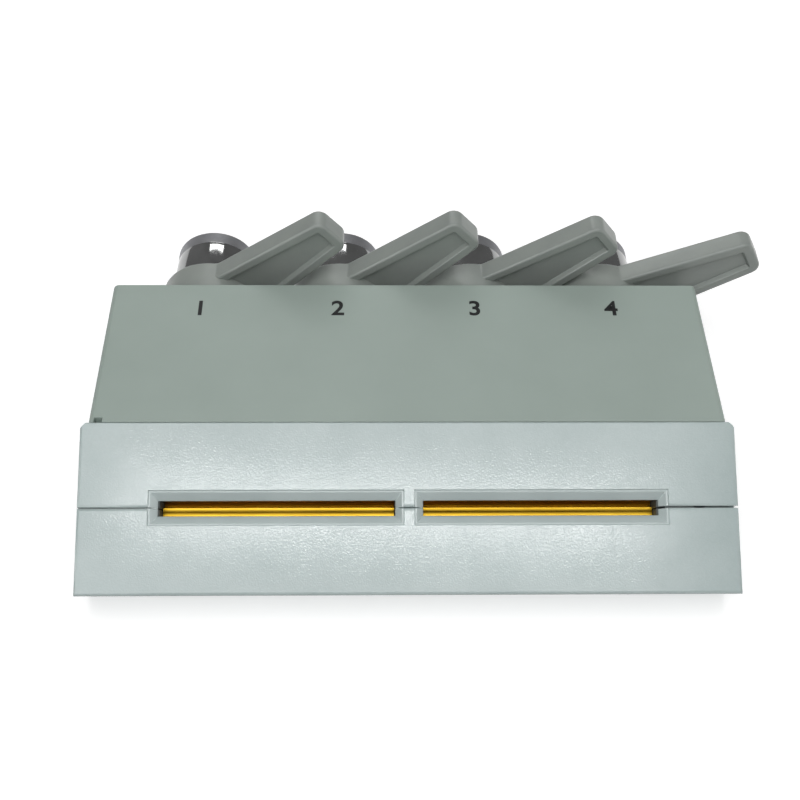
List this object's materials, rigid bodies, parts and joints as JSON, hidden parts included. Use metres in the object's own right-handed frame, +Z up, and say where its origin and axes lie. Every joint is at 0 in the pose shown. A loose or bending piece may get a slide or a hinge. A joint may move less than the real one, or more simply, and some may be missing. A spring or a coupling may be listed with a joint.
{
  "type": "lcr test fixture",
  "caption": "Bench fixture that plugs onto an impedance meter: grey housing with lever-locked bayonet plugs behind and a sloping slotted block with gilt spring contacts in front.",
  "frame": {"origin": "centre of the housing's underside, on the surface that it stands on", "axes": "+X to the right along the slots, +Y back towards the instrument along the plugs, +Z up"},
  "size_m": [0.1073, 0.0667, 0.0311],
  "materials": {
    "housing_grey": "satin green-grey paint",
    "plate_steel": "plain plated sheet",
    "panel_metal": "plain sheet",
    "block_white": "fine moulded texture, pale grey",
    "carrier_grey": "matt dark grey",
    "gilt": "gold plated",
    "lever_grey": "smooth moulded",
    "sleeve_chrome": "bright plated",
    "plug_nickel": "nickel plated brass",
    "insulator_white": "white polymer",
    "lead_sheath": "insulated wire",
    "screw_steel": "plated"
  },
  "bodies": {
    "fixture": {"housing": "housing_grey", "base_plate": "plate_steel", "rear_panel": "panel_metal", "upper_jaw": "block_white", "lower_jaw": "block_white", "base_screws": "screw_steel", "panel_screws": "screw_steel", "block_screws": "screw_steel", "jaw_screws": "screw_steel", "left_upper_carrier": "carrier_grey", "left_upper_terminal": "gilt", "left_lower_carrier": "carrier_grey", "left_lower_terminal": "gilt", "right_upper_carrier": "carrier_grey", "right_upper_terminal": "gilt", "right_lower_carrier": "carrier_grey", "right_lower_terminal": "gilt", "plug_body_1": "plug_nickel", "plug_body_2": "plug_nickel", "plug_body_3": "plug_nickel", "plug_body_4": "plug_nickel", "plug_insulator_1": "insulator_white", "plug_insulator_2": "insulator_white", "plug_insulator_3": "insulator_white", "plug_insulator_4": "insulator_white", "centre_pin_1": "gilt", "centre_pin_2": "gilt", "centre_pin_3": "gilt", "centre_pin_4": "gilt", "panel_nut_1": "plug_nickel", "panel_nut_2": "plug_nickel", "panel_nut_3": "plug_nickel", "panel_nut_4": "plug_nickel", "spring_washer_1": "screw_steel", "spring_washer_2": "screw_steel", "spring_washer_3": "screw_steel", "spring_washer_4": "screw_steel", "retaining_ring_1": "screw_steel", "retaining_ring_2": "screw_steel", "retaining_ring_3": "screw_steel", "retaining_ring_4": "screw_steel", "signal_lead_1": "lead_sheath", "signal_lead_2": "lead_sheath", "signal_lead_3": "lead_sheath", "signal_lead_4": "lead_sheath"},
    "lever_set_1": {"lever_1": "lever_grey", "coupling_sleeve_1": "sleeve_chrome"},
    "lever_set_2": {"lever_2": "lever_grey", "coupling_sleeve_2": "sleeve_chrome"},
    "lever_set_3": {"lever_3": "lever_grey", "coupling_sleeve_3": "sleeve_chrome"},
    "lever_set_4": {"lever_4": "lever_grey", "coupling_sleeve_4": "sleeve_chrome"},
    "left_upper_leaf": {"left_upper_contact": "gilt"},
    "left_lower_leaf": {"left_lower_contact": "gilt"},
    "right_upper_leaf": {"right_upper_contact": "gilt"},
    "right_lower_leaf": {"right_lower_contact": "gilt"}
  },
  "joints": [
    {"name": "lever_1_turn", "type": "hinge", "parent": "fixture", "child": "lever_set_1", "pos_m": [-0.033, 0.02985, 0.01075], "axis": [0, -1, 0], "range_deg": [0, 90]},
    {"name": "lever_2_turn", "type": "hinge", "parent": "fixture", "child": "lever_set_2", "pos_m": [-0.011, 0.02985, 0.01075], "axis": [0, -1, 0], "range_deg": [0, 90]},
    {"name": "lever_3_turn", "type": "hinge", "parent": "fixture", "child": "lever_set_3", "pos_m": [0.011, 0.02985, 0.01075], "axis": [0, -1, 0], "range_deg": [0, 90]},
    {"name": "lever_4_turn", "type": "hinge", "parent": "fixture", "child": "lever_set_4", "pos_m": [0.033, 0.02985, 0.01075], "axis": [0, -1, 0], "range_deg": [0, 90]},
    {"name": "left_upper_leaf_flex", "type": "hinge", "parent": "fixture", "child": "left_upper_leaf", "pos_m": [-0.01955, -0.01125, 0.00796], "axis": [-1, 0, 0], "range_deg": [0, 8], "stiffness_Nm_per_rad": 0.02},
    {"name": "left_lower_leaf_flex", "type": "hinge", "parent": "fixture", "child": "left_lower_leaf", "pos_m": [-0.01955, -0.01353, 0.0067], "axis": [1, 0, 0], "range_deg": [0, 8], "stiffness_Nm_per_rad": 0.02},
    {"name": "right_upper_leaf_flex", "type": "hinge", "parent": "fixture", "child": "right_upper_leaf", "pos_m": [0.01955, -0.01125, 0.00796], "axis": [-1, 0, 0], "range_deg": [0, 8], "stiffness_Nm_per_rad": 0.02},
    {"name": "right_lower_leaf_flex", "type": "hinge", "parent": "fixture", "child": "right_lower_leaf", "pos_m": [0.01955, -0.01353, 0.0067], "axis": [1, 0, 0], "range_deg": [0, 8], "stiffness_Nm_per_rad": 0.02}
  ],
  "couplings": [
    {"joint": "lever_2_turn", "follows": "lever_1_turn", "ratio": 1},
    {"joint": "lever_3_turn", "follows": "lever_1_turn", "ratio": 1},
    {"joint": "lever_4_turn", "follows": "lever_1_turn", "ratio": 1}
  ]
}
